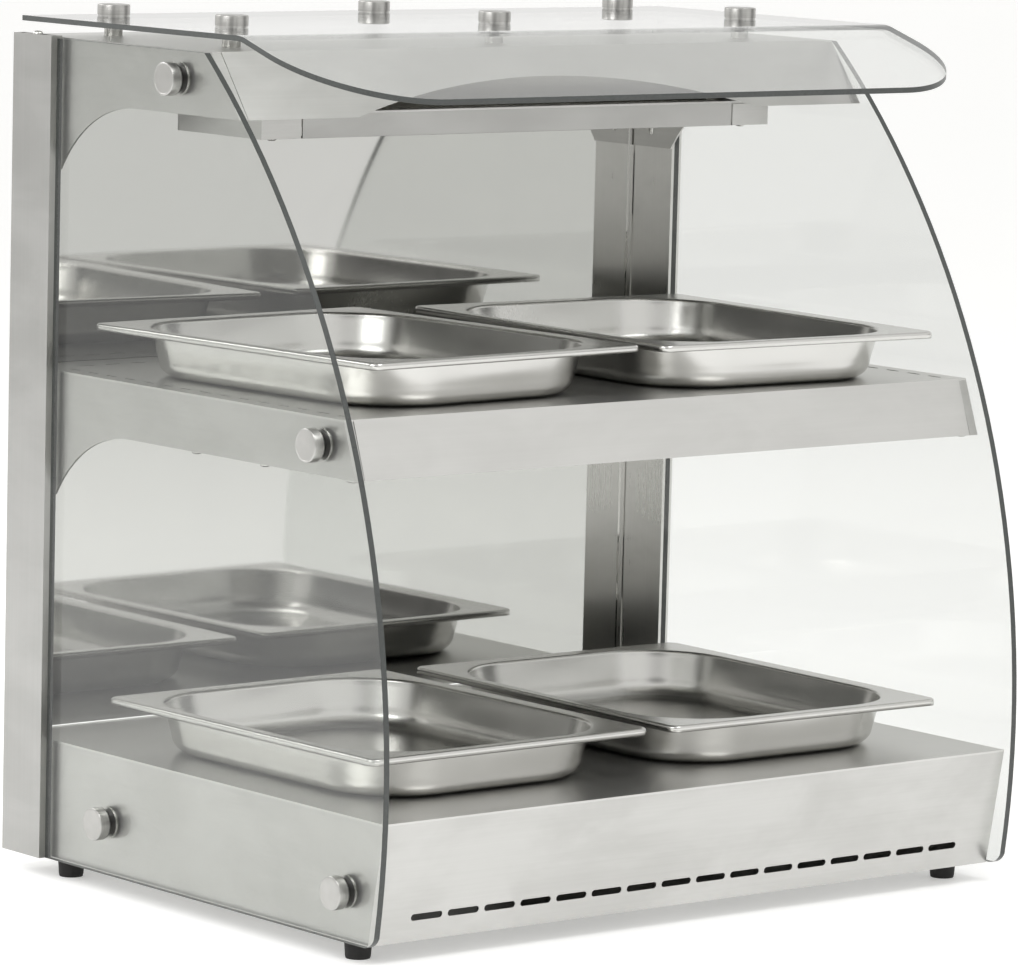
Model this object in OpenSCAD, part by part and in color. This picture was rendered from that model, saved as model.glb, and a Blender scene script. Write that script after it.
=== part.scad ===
// Two-tier heated display case for gastronorm pans, open towards the customer.
// Millimetres, +Z up, front towards -Y. The origin is at floor level, in the
// middle of the case's width and overall depth. Every module below is drawn
// from the rear faces of the posts (y = 0 there) and moved by from_rear().

/* [Body] */
// Width of the base, shelf and hood between the posts
body_w = 608; // [600:1:640]
// Thickness of the folded stainless sheet
sheet = 1.5; // [1.2:0.1:2]
// Width of each post across the front
post_w = 10; // [8:0.5:12]
// Depth of each post from rear to front
post_d = 50; // [45:1:60]
// Height of the post tops above the floor
post_top = 644; // [640:1:650]
// Clear height beneath the base
foot_h = 15; // [12:1:20]
// Depth of the fold that stiffens the arms
arm_flange = 12; // [10:0.5:14]

/* [Base] */
// Height of the base box
base_h = 91.3; // [88:0.1:100]
// Depth from the post rear to the front top edge
base_top_d = 465; // [455:1:480]
// Depth from the post rear to the front bottom edge
base_bottom_d = 449; // [440:1:454]
// Number of vent slots in the front panel
vent_count = 16; // [12:1:17]
// Centre distance of the vent slots
vent_pitch = 33.8; // [32:0.1:34]
// Length of one vent slot
vent_l = 28.6; // [20:0.1:30]
// Height of one vent slot
vent_h = 5; // [4:0.5:8]
// Height of the slots above the base's lower edge
vent_rise = 18; // [14:1:40]
// Diameter of a rubber foot where it meets the base
foot_d = 21; // [18:1:24]

/* [Shelf] */
// Height of the shelf surface above the floor
shelf_top = 390.2; // [380:0.1:400]
// Height of the shelf box
shelf_h = 42.6; // [38:0.1:48]
// Depth from the post rear to the shelf's front top edge
shelf_top_d = 408; // [400:1:420]
// Depth from the post rear to the shelf's front bottom edge
shelf_bottom_d = 423; // [415:1:435]
// Length of a warm air slot in the shelf deck
air_l = 14; // [10:1:16]
// Centre distance of the warm air slots
air_pitch = 24; // [22:1:30]

/* [Hood] */
// Height of the hood roof above the floor
hood_top = 642.7; // [638:0.1:644]
// Height of the hood box
hood_h = 47.7; // [44:0.1:52]
// Depth from the post rear to the hood's front top edge
hood_top_d = 241; // [236:1:246]
// Depth from the post rear to the hood's front bottom edge
hood_bottom_d = 276; // [270:1:284]
// Rise of the arched cut-out in the hood front
arch_rise = 26; // [18:1:30]
// Half of the width of the arched cut-out
arch_half = 195; // [180:1:210]
// Drop of the curved gusset below an arm at the post
gusset_drop = 52; // [45:1:60]
// Radius of the curved gusset
gusset_r = 112; // [100:1:130]

/* [Lamp box] */
// Width of the lamp box beneath the hood
lamp_box_w = 498; // [480:1:510]
// Distance from the post rear to the back of the lamp box
lamp_back_d = 124; // [115:1:130]
// Distance from the post rear to the front of the lamp box
lamp_front_d = 229; // [222:1:234]
// Height of the lamp box below the hood
lamp_box_h = 18.5; // [16:0.5:22]
// Width of each end block of the lamp box
end_block_w = 37; // [34:1:40]

/* [Glass] */
// Thickness of the side glass
side_glass_t = 5; // [4:0.5:6]
// Radius of the curved front edge of the side glass
glass_r = 693; // [680:1:710]
// How far behind the post rear the centre of that curve lies
glass_centre_d = 222; // [215:1:225]
// Height of that centre above the floor
glass_centre_z = 125; // [115:1:135]
// Thickness of the canopy glass
canopy_t = 4; // [4:0.5:6]
// Width of the canopy glass
canopy_w = 632; // [626:1:640]
// Distance from the post rear to the bend of the canopy
canopy_bend_d = 291; // [284:1:300]
// Distance from the post rear to the front edge of the canopy
canopy_front_d = 418; // [410:1:424]
// Slope of the visor in front of the bend
visor_angle = 17.4; // [14:0.1:20]
// Radius of the canopy's front corners
canopy_corner_r = 94; // [80:1:110]
// Clear height between the hood roof and the canopy
canopy_gap = 11; // [9:0.5:14]
// Diameter of the standoff caps
cap_d = 25; // [22:1:28]
// Thickness of the standoff caps
cap_t = 8; // [6:0.5:9]

/* [Pans] */
// Length of a half-size gastronorm pan over its flange
pan_l = 325; // [325:1:325]
// Width of the pan over its flange
pan_w = 265; // [265:1:265]
// Outside depth of the pan
pan_h = 38; // [36:1:65]
// Thickness of the pan's sheet
pan_sheet = 0.8; // [0.7:0.1:1.2]
// Corner radius of the pan's well at its rim
well_r = 64; // [40:1:70]

/* [Rear door] */
// Depth of the folded door tray
door_t = 13.5; // [12:0.5:16]
// Length of the door handle
handle_l = 130; // [110:5:160]
// How far the handle stands off the door
handle_reach = 30; // [26:1:34]

/* [Hidden] */
$fn = 48;

steel = [0.76, 0.76, 0.74];
bright_steel = [0.86, 0.86, 0.85];
mirror_steel = [0.90, 0.90, 0.90];
glass_tint = [0.80, 0.86, 0.84, 0.35];
rubber_black = [0.07, 0.07, 0.07];
plastic_black = [0.10, 0.10, 0.10];
ceramic_white = [0.90, 0.88, 0.84];

half_w = body_w / 2;
inner_w = body_w - 2 * sheet;
post_outer = half_w + post_w;
base_top = foot_h + base_h;
shelf_bottom = shelf_top - shelf_h;
hood_bottom = hood_top - hood_h;
lamp_bottom = hood_bottom - lamp_box_h;
arm_rear_d = 4;
front_panel_half = half_w - 8;
glass_inner_x = half_w + 1;
glass_outer_x = glass_inner_x + side_glass_t;
gasket_t = 1;
cap_outer_x = glass_outer_x + gasket_t + cap_t;
canopy_bottom = hood_top + canopy_gap;
canopy_top = canopy_bottom + canopy_t;
handle_rod_d = 9;
front_reach = glass_r - glass_centre_d;
rear_reach = door_t + handle_reach + handle_rod_d / 2;
centre_shift = (front_reach - rear_reach) / 2;

// Standoffs of one side glass, as [distance ahead of the post rear, height].
side_standoffs = [[201, 621], [382, 370], [126, 54], [422, 51]];
// Standoffs of the canopy, as [sideways, distance ahead of the post rear].
canopy_standoffs = [for (x = [-250, 0, 250]) for (d = [40, 191]) [x, d]];
foot_places = [for (x = [-288, 288]) for (d = [56, 417]) [x, -d]];
stud_d = 6;

// Rear panel layout: sideways position of each control.
control_z = foot_h + 50;
knob_x = -120;
heat_switch_x = -190;
light_switch_x = -240;
pilot_x = -70;
gland_x = 230;
switch_open = [19, 27];
rocker_r = 11.4;
rocker_w = 14;
shaft_d = 6;
lamp_rows = [157, 196];
lamp_l = 392;
tube_d = 10;
screw_head_d = 8;
shelf_screw_rows = [223, 307, 411];
heater_drop = 4.4;

// Hinge pin line, and the heights of the two hinges.
hinge_x = half_w - 1;
hinge_y = 3;
knuckle_r = 3;
hinge_pin_d = 3;
hinge_l = 50;
hinge_heights = [190, 510];
door_low = base_top + 1;
door_high = hood_bottom - 3;
door_left = -half_w + 3;
door_right = half_w - 4;

module from_rear() {
    translate([0, centre_shift, 0]) children();
}

// Lays a profile drawn as [depth, height] across the case from x0 to x1.
module across(x0, x1) {
    translate([x0, 0, 0]) rotate([90, 0, 90]) linear_extrude(x1 - x0) children();
}

module plate(low, high) {
    translate(low) cube(high - low);
}

module rounded_square(w, l, r) {
    square([w - 2 * r, l], center = true);
    square([w, l - 2 * r], center = true);
    for (x = [-1, 1]) for (y = [-1, 1])
        translate([x * (w / 2 - r), y * (l / 2 - r)]) circle(r);
}

module slot_shape(l, h) {
    square([l - h, h], center = true);
    for (s = [-1, 1]) translate([s * (l - h) / 2, 0]) circle(h / 2);
}

// A rod along X, centred on a point.
module rod_x(d, l) {
    rotate([0, 90, 0]) cylinder(d = d, h = l, center = true);
}

// A rod along +Y from the point.
module rod_y(d, l) {
    rotate([-90, 0, 0]) cylinder(d = d, h = l);
}

// A button-head screw whose head stands along +Z above the origin.
module button_screw(head, shank, l) {
    cylinder(d1 = head, d2 = head * 0.7, h = head * 0.3);
    translate([0, 0, -l]) cylinder(d = shank, h = l + 0.01);
}

// Side outline of a box whose front leans, from depth back_d to its front.
module leaning_outline(back_d, top_d, bottom_d, low, high) {
    polygon([[-back_d, low], [-bottom_d, low], [-top_d, high], [-back_d, high]]);
}

// ---- Base ----------------------------------------------------------------

module base_casing() {
    lip = 14;
    color(steel) from_rear() difference() {
        across(-half_w, half_w)
            leaning_outline(0, base_top_d, base_bottom_d, foot_h, base_top - sheet);
        across(-half_w + sheet, half_w - sheet)
            leaning_outline(-1, base_top_d - sheet, base_bottom_d - sheet, foot_h + sheet, base_top);
        plate([-half_w + lip, -base_bottom_d + lip, foot_h - 1], [half_w - lip, 1, foot_h + 2]);
        for (i = [0 : vent_count - 1])
            translate([(i - (vent_count - 1) / 2) * vent_pitch, -base_top_d - 5, foot_h + vent_rise])
                rotate([-90, 0, 0]) linear_extrude(30) slot_shape(vent_l, vent_h);
        for (p = foot_places) translate([p[0], p[1], foot_h - 1]) cylinder(d = 6.4, h = 4);
        for (i = [2, 3])
            translate([0, -side_standoffs[i][0], side_standoffs[i][1]]) rod_x(stud_d + 0.4, body_w + 2);
        for (s = [-1, 1]) for (z = [32, 84])
            translate([s * half_w, -post_d / 2, foot_h - 5 + z]) rod_x(5.4, 8);
    }
}

module base_deck() {
    color(steel) from_rear()
        plate([-half_w, -base_top_d, base_top - sheet], [half_w, 0, base_top]);
}

module base_bottom_plate() {
    low = foot_h + sheet;
    color(steel) from_rear() difference() {
        plate([-half_w + sheet, -base_bottom_d + 3, low], [half_w - sheet, -sheet, low + sheet]);
        for (p = foot_places) translate([p[0], p[1], low - 1]) cylinder(d = 6.4, h = 4);
        for (x = [-150, 150]) for (d = [140 : 24 : 332])
            translate([x, -d, low - 1]) linear_extrude(4) slot_shape(120, 6);
    }
}

module base_rear_panel() {
    color(steel) from_rear() difference() {
        plate([-half_w + sheet, -sheet, foot_h + sheet], [half_w - sheet, 0, base_top - sheet]);
        for (x = [heat_switch_x, light_switch_x])
            translate([x, -2, control_z]) rotate([-90, 0, 0])
                linear_extrude(3) square(switch_open, center = true);
        translate([knob_x, -2, control_z]) rod_y(10, 3);
        translate([pilot_x, -2, control_z]) rod_y(9, 3);
        translate([gland_x, -2, control_z]) rod_y(16, 3);
        for (x = [20 : 14 : 174])
            translate([x, -2, control_z]) rotate([-90, 90, 0])
                linear_extrude(3) slot_shape(40, 5);
    }
}

module base_heat_shield() {
    z = base_top - 34;
    wall = 1;
    color(bright_steel) from_rear() difference() {
        plate([-270, -420, z], [270, -50, z + 20]);
        plate([-270 + wall, -420 + wall, z + wall], [270 - wall, -50 - wall, z + 21]);
    }
}

// A sheathed element: straight runs along X joined by half turns.
module serpentine(run_l, rows, pitch, d) {
    for (i = [0 : rows - 1]) {
        translate([0, -i * pitch, 0]) rod_x(d, run_l);
        if (i < rows - 1) {
            side = i % 2 == 0 ? 1 : -1;
            translate([side * run_l / 2, -(i + 0.5) * pitch, 0])
                rotate([0, 0, side > 0 ? -90 : 90])
                    rotate_extrude(angle = 180) translate([pitch / 2, 0]) circle(d = d);
        }
    }
    for (y = [0, -(rows - 1) * pitch]) translate([-run_l / 2 - 12, y, 0]) rod_x(d + 1.5, 24);
}

module base_heater() {
    color([0.30, 0.27, 0.24]) from_rear()
        translate([0, -80, base_top - sheet - heater_drop]) serpentine(420, 6, 60, 7);
}

module heater_clips() {
    color(bright_steel) from_rear() {
        for (z = [base_top, shelf_top]) for (x = [-140, 140]) difference() {
            plate([x - 5, z == base_top ? -395 : -335, z - sheet - 9],
                  [x + 5, z == base_top ? -65 : -85, z - sheet]);
            translate([x, 0, z - sheet - heater_drop]) for (i = [0 : 5])
                translate([0, (z == base_top ? -80 : -100) - i * (z == base_top ? 60 : 44), 0])
                    rod_x(7.2, 12);
        }
    }
}

module feet() {
    color(rubber_black) from_rear() for (p = foot_places) translate([p[0], p[1], 0]) difference() {
        union() {
            cylinder(d1 = foot_d - 3, d2 = foot_d - 2, h = 2);
            translate([0, 0, 2]) cylinder(d1 = foot_d - 2, d2 = foot_d, h = foot_h - 2);
        }
        translate([0, 0, foot_h - 8]) cylinder(d = 6, h = 9);
    }
}

module foot_screws() {
    color(bright_steel) from_rear() for (p = foot_places)
        translate([p[0], p[1], foot_h + 2 * sheet]) {
            translate([0, 0, -9]) cylinder(d = 5.9, h = 9);
            cylinder(d = 11, h = 3);
        }
}

// ---- Controls in the rear of the base ---------------------------------------

module terminal_block() {
    low = foot_h + 2 * sheet;
    color(ceramic_white) from_rear() translate([gland_x, -60, low]) difference() {
        plate([-30, -11, 0], [30, 11, 20]);
        for (x = [-20, 0, 20]) {
            translate([x, 0, 10]) cylinder(d = 5, h = 11);
            translate([x, -12, 8]) rod_y(5, 24);
        }
    }
}

module cord_gland() {
    color(plastic_black) from_rear() translate([gland_x, 0, control_z]) difference() {
        union() {
            rod_y(22, 4);
            translate([0, 4, 0]) rotate([-90, 0, 0]) cylinder(d1 = 18, d2 = 13, h = 12);
            translate([0, -sheet, 0]) rod_y(15.8, sheet + 0.01);
            translate([0, -sheet - 5, 0]) rotate([-90, 0, 0]) cylinder(d = 22, h = 5, $fn = 6);
        }
        translate([0, -8, 0]) rod_y(8, 26);
    }
}

module thermostat_body() {
    color([0.55, 0.53, 0.48]) from_rear() translate([knob_x, 0, control_z]) {
        plate([-20, -sheet - 26, -20], [20, -sheet, 20]);
        translate([0, -sheet, 0]) rod_y(shaft_d, sheet + 11);
        translate([0, -40, 0]) rod_y(8, 14);
    }
}

module pilot_lamp() {
    color([0.95, 0.55, 0.12]) from_rear() translate([pilot_x, 0, control_z]) {
        translate([0, -18, 0]) rod_y(8.8, 18.01);
        rod_y(12, 1.5);
        translate([0, 1.5, 0]) rotate([-90, 0, 0]) rotate_extrude() intersection() {
            translate([0, -2]) circle(5.4);
            square([6, 4]);
        }
    }
}

module switch_housings() {
    color(plastic_black) from_rear() for (x = [heat_switch_x, light_switch_x])
        translate([x, 0, control_z]) difference() {
            union() {
                plate([-9.4, -24, -13.4], [9.4, 0, 13.4]);
                plate([-11.5, 0, -15.5], [11.5, 2, 15.5]);
            }
            translate([0, -2, 0]) rod_x(2 * rocker_r + 0.6, rocker_w + 0.6);
            plate([-rocker_w / 2 - 0.3, -2, -rocker_r - 0.3], [rocker_w / 2 + 0.3, 3, rocker_r + 0.3]);
        }
}

// A rocker with a shallow V face, resting with its upper half pressed in.
module rocker(x, tint) {
    color(tint) from_rear() translate([x, -2, control_z]) rotate([9, 0, 0])
        rotate([90, 0, 90]) translate([0, 0, -rocker_w / 2]) linear_extrude(rocker_w)
            intersection() {
                circle(rocker_r);
                polygon([[-4, -12], [6.6, -12], [3.4, 0], [6.6, 12], [-4, 12]]);
            }
}

module heat_rocker() {
    rocker(heat_switch_x, [0.70, 0.10, 0.08]);
}

module light_rocker() {
    rocker(light_switch_x, plastic_black);
}

module thermostat_knob() {
    color(plastic_black) from_rear() translate([knob_x, 1, control_z]) rotate([-90, 0, 0])
        difference() {
            union() {
                cylinder(d = 42, h = 3);
                translate([0, 0, 3]) cylinder(d1 = 33, d2 = 30, h = 12);
                plate([-3.5, -16, 3], [3.5, 16, 21]);
            }
            translate([0, 0, -1]) cylinder(d = shaft_d + 0.1, h = 12);
        }
}

// ---- Posts -------------------------------------------------------------------

module post(side) {
    color(steel) from_rear() difference() {
        plate([side > 0 ? half_w : -post_outer, -post_d, foot_h],
              [side > 0 ? post_outer : -half_w, 0, post_top]);
        plate([side > 0 ? half_w + sheet : -post_outer + sheet, -post_d + sheet, foot_h - 1],
              [side > 0 ? post_outer - sheet : -half_w - sheet, -sheet, post_top + 1]);
        for (z = [27, 79, shelf_top - foot_h - 20, shelf_top - foot_h - 62,
                  hood_top - foot_h - 20, hood_top - foot_h - 86])
            translate([side * half_w, -post_d / 2, foot_h + z]) rod_x(5.4, 2 * sheet + 0.5);
        for (z = hinge_heights) for (dz = [-17, 17])
            if (side > 0) translate([half_w + post_w / 2 + 0.5, -3, z + dz]) rod_y(3.2, 4);
    }
}

module left_post() {
    post(-1);
}

module right_post() {
    post(1);
}

module post_caps() {
    color(steel) from_rear() for (s = [-1, 1]) for (z = [foot_h + 2, post_top - 0.5])
        translate([s * (half_w + post_w / 2), -post_d / 2, z - sheet]) linear_extrude(sheet)
            difference() {
                square([post_w - 2 * sheet - 0.1, post_d - 2 * sheet - 0.1], center = true);
                circle(d = 3.2);
            }
}

module post_screws() {
    color(bright_steel) from_rear() for (s = [-1, 1]) {
        for (z = [foot_h + 27, foot_h + 79, shelf_top - 20, shelf_top - 62, hood_top - 20,
                  hood_top - 86])
            translate([s * (half_w - sheet), -post_d / 2, z]) rotate([0, -90 * s, 0])
                button_screw(screw_head_d, 5, 5.5);
        translate([s * (half_w + post_w / 2), -post_d / 2, post_top]) button_screw(screw_head_d, 3, 7);
        translate([s * (half_w + post_w / 2), -post_d / 2, foot_h + 2 - sheet]) rotate([180, 0, 0])
            button_screw(5, 3, 7);
    }
}

// ---- Arms shared by shelf and hood ----------------------------------------------

// One cantilever arm: a side plate with a curved gusset at the post, a fold
// along its lower edge and a narrow fold that frames the front panel.
module arm(side, top_d, bottom_d, low, high, stud) {
    reach = sqrt(gusset_r * gusset_r - (gusset_r - gusset_drop) * (gusset_r - gusset_drop));
    outer = side > 0 ? half_w : -half_w + sheet;
    color(steel) from_rear() difference() {
        union() {
            across(outer - sheet, outer) {
                leaning_outline(arm_rear_d, top_d, bottom_d, low, high);
                difference() {
                    polygon([[-arm_rear_d, low + 1], [-arm_rear_d, low - gusset_drop],
                             [-post_d, low - gusset_drop], [-post_d - reach, low],
                             [-post_d - reach, low + 1]]);
                    translate([-post_d - reach, low - gusset_r]) circle(gusset_r, $fn = 96);
                }
            }
            across(side > 0 ? half_w - arm_flange : -half_w, side > 0 ? half_w : -half_w + arm_flange)
                leaning_outline(post_d + reach, bottom_d - 3, bottom_d - 3, low, low + sheet);
            across(side > 0 ? half_w - 8 : -half_w, side > 0 ? half_w : -half_w + 8)
                polygon([[-top_d, high], [-bottom_d, low], [-bottom_d + sheet, low], [-top_d + sheet, high]]);
        }
        translate([0, -stud[0], stud[1]]) rod_x(stud_d + 0.4, body_w + 2);
        for (z = [high + sheet - 20, low - (low == shelf_bottom ? 19.4 : 38.3)])
            translate([side * half_w, -post_d / 2, z]) rod_x(5.4, 8);
        if (low == shelf_bottom) shelf_screw_holes(side);
    }
}

// ---- Shelf -----------------------------------------------------------------------

module shelf_screw_holes(side) {
    for (d = shelf_screw_rows)
        translate([side * (half_w - 6), -d, shelf_bottom - 1]) cylinder(d = 3.2, h = 6);
}

module shelf_arm_left() {
    arm(-1, shelf_top_d, shelf_bottom_d, shelf_bottom, shelf_top - sheet, side_standoffs[1]);
}

module shelf_arm_right() {
    arm(1, shelf_top_d, shelf_bottom_d, shelf_bottom, shelf_top - sheet, side_standoffs[1]);
}

module shelf_deck() {
    air_w = 3;
    color(steel) from_rear() difference() {
        union() {
            plate([-half_w, -shelf_top_d, shelf_top - sheet], [half_w, -arm_rear_d, shelf_top]);
            across(-front_panel_half + 0.3, front_panel_half - 0.3)
                polygon([[-shelf_top_d, shelf_top], [-shelf_bottom_d, shelf_bottom],
                         [-shelf_bottom_d + sheet, shelf_bottom], [-shelf_top_d + sheet, shelf_top]]);
            plate([-half_w + 2 * sheet, -arm_rear_d - sheet, shelf_bottom + 2 * sheet + 0.2],
                  [half_w - 2 * sheet, -arm_rear_d, shelf_top]);
        }
        for (s = [-1, 1]) for (i = [0 : 14])
            translate([s * (half_w - 15), -52 - i * air_pitch, shelf_top - 3])
                linear_extrude(4) rotate(90) slot_shape(air_l, air_w);
        for (i = [-11 : 11])
            translate([i * air_pitch, -32, shelf_top - 3]) linear_extrude(4) slot_shape(air_l, air_w);
    }
}

module shelf_bottom_cover() {
    low = shelf_bottom + sheet;
    color(steel) from_rear() difference() {
        plate([-half_w + sheet, -shelf_bottom_d + 4, low], [half_w - sheet, -arm_rear_d, low + sheet]);
        for (s = [-1, 1]) shelf_screw_holes(s);
    }
}

module shelf_heater() {
    color([0.30, 0.27, 0.24]) from_rear()
        translate([0, -100, shelf_top - sheet - heater_drop]) serpentine(420, 6, 44, 7);
}

module shelf_screws() {
    color(bright_steel) from_rear() for (s = [-1, 1]) for (d = shelf_screw_rows)
        translate([s * (half_w - 6), -d, shelf_bottom]) rotate([180, 0, 0]) button_screw(screw_head_d, 3, 3);
}

// ---- Hood ------------------------------------------------------------------------

module hood_arm_left() {
    arm(-1, hood_top_d, hood_bottom_d, hood_bottom, hood_top - sheet, side_standoffs[0]);
}

module hood_arm_right() {
    arm(1, hood_top_d, hood_bottom_d, hood_bottom, hood_top - sheet, side_standoffs[0]);
}

// Roof and leaning front in one sheet; the front's lower edge is cut in an arch.
module hood_shell() {
    arch_r = (arch_half * arch_half + arch_rise * arch_rise) / (2 * arch_rise);
    color(steel) from_rear() difference() {
        union() {
            plate([-half_w, -hood_top_d, hood_top - sheet], [half_w, -sheet, hood_top]);
            across(-front_panel_half + 0.3, front_panel_half - 0.3)
                polygon([[-hood_top_d, hood_top], [-hood_bottom_d, hood_bottom],
                         [-hood_bottom_d + 2.2, hood_bottom], [-hood_top_d + 2.2, hood_top]]);
        }
        translate([0, -hood_bottom_d - 5, hood_bottom + arch_rise - arch_r]) rotate([-90, 0, 0])
            cylinder(r = arch_r, h = 40, $fn = 240);
        for (p = canopy_standoffs)
            translate([p[0], -p[1], hood_top - 3]) cylinder(d = stud_d + 0.4, h = 4);
    }
}

module hood_underside() {
    front_d = hood_top_d - 3;
    color(steel) from_rear() difference() {
        plate([-half_w + sheet, -front_d, hood_bottom], [half_w - sheet, -2 * sheet, hood_bottom + sheet]);
        plate([-lamp_l / 2 - 7, -lamp_front_d + 10, hood_bottom - 1],
              [lamp_l / 2 + 7, -lamp_back_d - 10, hood_bottom + 3]);
        for (s = [-1, 1])
            plate([s * (half_w - arm_flange / 2) - arm_flange / 2 - 0.5, -front_d - 1, hood_bottom - 1],
                  [s * (half_w - arm_flange / 2) + arm_flange / 2 + 0.5, -post_d - 80, hood_bottom + 3]);
    }
}

module hood_rear_panel() {
    color(steel) from_rear() difference() {
        plate([-half_w, -sheet, hood_bottom], [half_w, 0, hood_top]);
        for (x = [-140 : 14 : 140])
            translate([x, -3, hood_bottom + 26]) rotate([-90, 90, 0])
                linear_extrude(5) slot_shape(22, 5);
    }
}

// ---- Lamp box ---------------------------------------------------------------------

module lamp_box() {
    half = lamp_box_w / 2;
    color(steel) from_rear() difference() {
        plate([-half, -lamp_front_d + sheet, lamp_bottom], [half, -lamp_back_d, hood_bottom]);
        plate([-half + end_block_w, -lamp_front_d, lamp_bottom - 1],
              [half - end_block_w, -lamp_back_d - sheet, hood_bottom + 1]);
        for (s = [-1, 1])
            plate([s * (half - end_block_w / 2) - end_block_w / 2 - 1, -lamp_front_d - 1, lamp_bottom - 1],
                  [s * (half - end_block_w / 2) + end_block_w / 2 + 1, -lamp_back_d - sheet,
                   hood_bottom - sheet]);
    }
}

module lamp_end_blocks() {
    half = lamp_box_w / 2;
    wall = 1.2;
    color(steel) from_rear() for (s = [-1, 1]) translate([s * (half - end_block_w / 2), 0, 0])
        difference() {
            plate([-end_block_w / 2, -lamp_front_d, lamp_bottom],
                  [end_block_w / 2, -lamp_back_d - sheet, hood_bottom - sheet]);
            plate([-end_block_w / 2 + wall, -lamp_front_d + wall, lamp_bottom + wall],
                  [end_block_w / 2 - wall, -lamp_back_d - sheet - wall, hood_bottom]);
            translate([0, -lamp_front_d + 12, lamp_bottom - 1]) cylinder(d = 3.6, h = 4);
        }
}

module lamp_front_strip() {
    half = lamp_box_w / 2 - end_block_w - 1.2;
    color(bright_steel) from_rear() {
        plate([-half, -lamp_front_d, lamp_bottom], [half, -lamp_front_d + sheet, hood_bottom]);
        plate([-half, -lamp_front_d, lamp_bottom], [half, -lamp_front_d + 9, lamp_bottom + sheet]);
    }
}

module heat_lamps() {
    color([0.95, 0.93, 0.88]) from_rear() for (d = lamp_rows)
        translate([0, -d, hood_bottom + 4]) {
            rod_x(tube_d, lamp_l);
            for (s = [-1, 1]) translate([s * (lamp_l / 2 + 3), 0, 0]) rod_x(6, 6.01);
        }
}

module lamp_holders() {
    color(ceramic_white) from_rear() for (d = lamp_rows) for (s = [-1, 1])
        translate([s * (lamp_l / 2 + 11), -d, hood_bottom + 4]) difference() {
            plate([-9, -8, -2.4], [9, 8, 16]);
            translate([-s * 6, 0, 0]) rod_x(6.1, 8);
        }
}

module lamp_reflector() {
    wall = 0.8;
    high = hood_bottom + 28;
    color(mirror_steel) from_rear() across(-lamp_l / 2 + 4, lamp_l / 2 - 4) difference() {
        polygon([[-lamp_front_d + 9, hood_bottom + sheet], [-lamp_front_d + 22, high],
                 [-lamp_back_d - 22, high], [-lamp_back_d - 9, hood_bottom + sheet]]);
        polygon([[-lamp_front_d + 9 + wall, hood_bottom], [-lamp_front_d + 22 + wall, high - wall],
                 [-lamp_back_d - 22 - wall, high - wall], [-lamp_back_d - 9 - wall, hood_bottom]]);
    }
}

module lamp_screws() {
    half = lamp_box_w / 2 - end_block_w / 2;
    color(bright_steel) from_rear() for (s = [-1, 1])
        translate([s * half, -lamp_front_d + 12, lamp_bottom]) rotate([180, 0, 0])
            button_screw(6.5, 3.4, 6);
}

// ---- Glass and its fixings -----------------------------------------------------------

// Side glass: a tall pane whose front edge is one long arc, with an eased lower corner.
module glass_outline() {
    corner = 14;
    rear = -post_d - 2;
    low = foot_h + 0.5;
    high = post_top - 2;
    front_low = glass_centre_d - sqrt(pow(glass_r, 2) - pow(glass_centre_z - low, 2));
    corner_x = front_low + corner - 2.5;
    intersection() {
        translate([glass_centre_d, glass_centre_z]) circle(glass_r, $fn = 360);
        union() {
            translate([-600, low + corner]) square([600 + rear, high - low - corner]);
            translate([corner_x, low]) square([rear - corner_x, 2 * corner]);
            translate([corner_x, low + corner]) circle(corner);
        }
    }
}

module side_glass(side) {
    x = side > 0 ? glass_inner_x : -glass_outer_x;
    color(glass_tint) from_rear() difference() {
        across(x, x + side_glass_t) glass_outline();
        for (p = side_standoffs) translate([x, -p[0], p[1]]) rod_x(stud_d + 2, 30);
    }
}

module side_glass_left() {
    side_glass(-1);
}

module side_glass_right() {
    side_glass(1);
}

module side_standoff_caps() {
    bevel = 0.8;
    color(bright_steel) from_rear() for (s = [-1, 1]) for (p = side_standoffs)
        translate([s * (glass_outer_x + gasket_t), -p[0], p[1]]) rotate([0, 90 * s, 0]) {
            cylinder(d = cap_d, h = cap_t - bevel);
            translate([0, 0, cap_t - bevel]) cylinder(d1 = cap_d, d2 = cap_d - 2 * bevel, h = bevel);
            translate([0, 0, -16]) cylinder(d = stud_d, h = 16.01);
        }
}

module side_standoff_gaskets() {
    color(rubber_black) from_rear() for (s = [-1, 1]) for (p = side_standoffs)
        for (x = [half_w, glass_outer_x])
            translate([s * (x + gasket_t / 2), -p[0], p[1]]) difference() {
                rod_x(cap_d - 1, gasket_t);
                rod_x(stud_d + 0.2, gasket_t + 1);
            }
}

module side_standoff_nuts() {
    color(bright_steel) from_rear() for (s = [-1, 1]) for (p = side_standoffs)
        translate([s * (half_w - sheet), -p[0], p[1]]) rotate([0, -90 * s, 0]) difference() {
            cylinder(d = 11.5, h = 5, $fn = 6);
            translate([0, 0, -1]) cylinder(d = stud_d + 0.1, h = 7);
        }
}

// Points along the canopy's bend at radius r, from flat to the visor's slope.
function bend_points(r, turn) = [
    for (i = [0 : 4]) let (a = visor_angle * i / 4)
        [-canopy_bend_d + turn - r * sin(a), canopy_bottom - 30 + r * cos(a)]
];

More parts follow.
